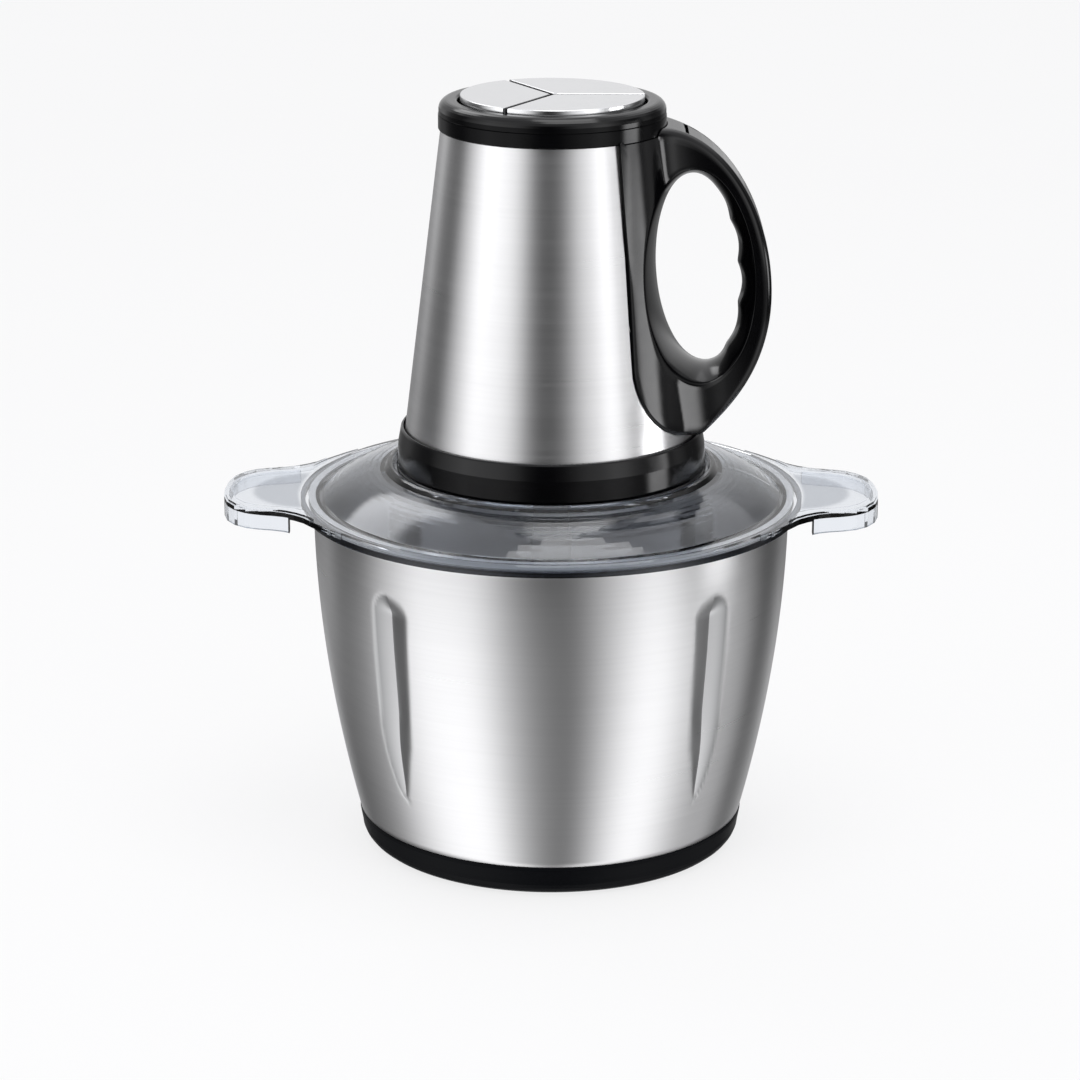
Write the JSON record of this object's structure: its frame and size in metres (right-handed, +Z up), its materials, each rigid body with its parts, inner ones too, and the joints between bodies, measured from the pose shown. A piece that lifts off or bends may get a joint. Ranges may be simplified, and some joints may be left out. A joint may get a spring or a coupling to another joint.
{
  "type": "electric food chopper",
  "caption": "Countertop chopper: fluted steel bowl with S-shaped blades, clear eared lid and a conical steel motor head with press buttons and a loop handle.",
  "frame": {"origin": "centre of the underside of the base boot, on the axis of the bowl and motor", "axes": "+Z up along the axis, +X towards the handle, -Y towards the viewer of the picture"},
  "size_m": [0.25, 0.1916, 0.2907],
  "materials": {
    "brushed_steel": "brushed, horizontal grain",
    "blade_steel": "ground",
    "boot_black": "matte",
    "white_plastic": "satin",
    "clear_plastic": "clear, glossy",
    "silicone": "translucent",
    "black_gloss": "glossy",
    "screw_steel": "plated",
    "cast_metal": "cast",
    "dark_steel": "laminated",
    "copper": "enamelled wire",
    "brass": "bright",
    "dark_plastic": "satin",
    "board_green": "coated board",
    "capacitor": "moulded",
    "button_chrome": "plated plastic, glossy"
  },
  "bodies": {
    "bowl": {"bowl_shell": "brushed_steel", "bowl_pin": "brushed_steel", "base_boot": "boot_black"},
    "blade": {"blade_spindle": "white_plastic", "spindle_bush": "brass", "lower_blade": "blade_steel", "blade_spacer": "white_plastic", "upper_blade": "blade_steel", "blade_cap": "white_plastic"},
    "lid": {"lid": "clear_plastic", "lid_seal": "silicone"},
    "head": {"head_base": "black_gloss", "motor_shell": "brushed_steel", "handle_body": "black_gloss", "handle_back_strip": "black_gloss", "handle_screws": "screw_steel", "collar_band": "black_gloss", "top_collar": "black_gloss", "collar_screws": "screw_steel", "cord_gland": "boot_black", "gearbox_housing": "cast_metal", "gearbox_cover": "cast_metal", "gearbox_screws": "screw_steel", "ring_gear": "dark_steel", "output_bearing": "screw_steel", "shaft_seal": "boot_black", "lower_bracket": "cast_metal", "base_screws": "screw_steel", "motor_damper": "boot_black", "motor_stator": "dark_steel", "field_coils": "copper", "motor_bolts": "screw_steel", "upper_bracket": "cast_metal", "lower_bearing": "screw_steel", "upper_bearing": "screw_steel", "brush_holders": "brass", "carbon_brushes": "dark_plastic", "switch_bracket": "dark_plastic", "microswitches": "dark_plastic", "control_board": "board_green", "run_capacitor": "capacitor", "button_spring_1": "screw_steel", "button_spring_2": "screw_steel", "button_spring_3": "screw_steel"},
    "rotor": {"motor_shaft": "screw_steel", "armature_core": "dark_steel", "armature_winding": "copper", "commutator": "copper", "cooling_fan": "dark_plastic", "sun_gear": "brass"},
    "drive": {"planet_carrier": "screw_steel", "planet_pins": "screw_steel", "drive_clip": "screw_steel", "drive_dog": "dark_plastic"},
    "planet_1": {"planet_gear_1": "white_plastic"},
    "planet_2": {"planet_gear_2": "white_plastic"},
    "planet_3": {"planet_gear_3": "white_plastic"},
    "button_1": {"button_1": "button_chrome"},
    "button_2": {"button_2": "button_chrome"},
    "button_3": {"button_3": "button_chrome"}
  },
  "joints": [
    {"name": "lid_lift", "type": "slide", "parent": "bowl", "child": "lid", "axis": [0, 0, 1], "range_m": [0, 0.06]},
    {"name": "head_lift", "type": "slide", "parent": "lid", "child": "head", "axis": [0, 0, 1], "range_m": [0, 0.08]},
    {"name": "button_1_press", "type": "slide", "parent": "head", "child": "button_1", "axis": [0, 0, -1], "range_m": [0, 0.0012], "stiffness_N_per_m": 600, "springref_m": -0.003, "deforming": ["button_spring_1"]},
    {"name": "button_2_press", "type": "slide", "parent": "head", "child": "button_2", "axis": [0, 0, -1], "range_m": [0, 0.0012], "stiffness_N_per_m": 600, "springref_m": -0.003, "deforming": ["button_spring_2"]},
    {"name": "button_3_press", "type": "slide", "parent": "head", "child": "button_3", "axis": [0, 0, -1], "range_m": [0, 0.0012], "stiffness_N_per_m": 600, "springref_m": -0.003, "deforming": ["button_spring_3"]},
    {"name": "rotor_spin", "type": "hinge", "parent": "head", "child": "rotor", "pos_m": [0, 0, 0.2], "axis": [0, 0, 1], "continuous": true},
    {"name": "drive_spin", "type": "hinge", "parent": "head", "child": "drive", "pos_m": [0, 0, 0.145], "axis": [0, 0, 1], "continuous": true},
    {"name": "planet_1_spin", "type": "hinge", "parent": "drive", "child": "planet_1", "pos_m": [0.012, 0, 0.155], "axis": [0, 0, 1], "continuous": true},
    {"name": "planet_2_spin", "type": "hinge", "parent": "drive", "child": "planet_2", "pos_m": [-0.006, 0.01039, 0.155], "axis": [0, 0, 1], "continuous": true},
    {"name": "planet_3_spin", "type": "hinge", "parent": "drive", "child": "planet_3", "pos_m": [-0.006, -0.01039, 0.155], "axis": [0, 0, 1], "continuous": true},
    {"name": "blade_spin", "type": "hinge", "parent": "bowl", "child": "blade", "pos_m": [0, 0, 0.06], "axis": [0, 0, 1], "continuous": true}
  ],
  "couplings": [
    {"joint": "drive_spin", "follows": "rotor_spin", "ratio": 0.2},
    {"joint": "planet_1_spin", "follows": "rotor_spin", "ratio": -0.53333},
    {"joint": "planet_2_spin", "follows": "rotor_spin", "ratio": -0.53333},
    {"joint": "planet_3_spin", "follows": "rotor_spin", "ratio": -0.53333},
    {"joint": "blade_spin", "follows": "rotor_spin", "ratio": 0.2}
  ]
}
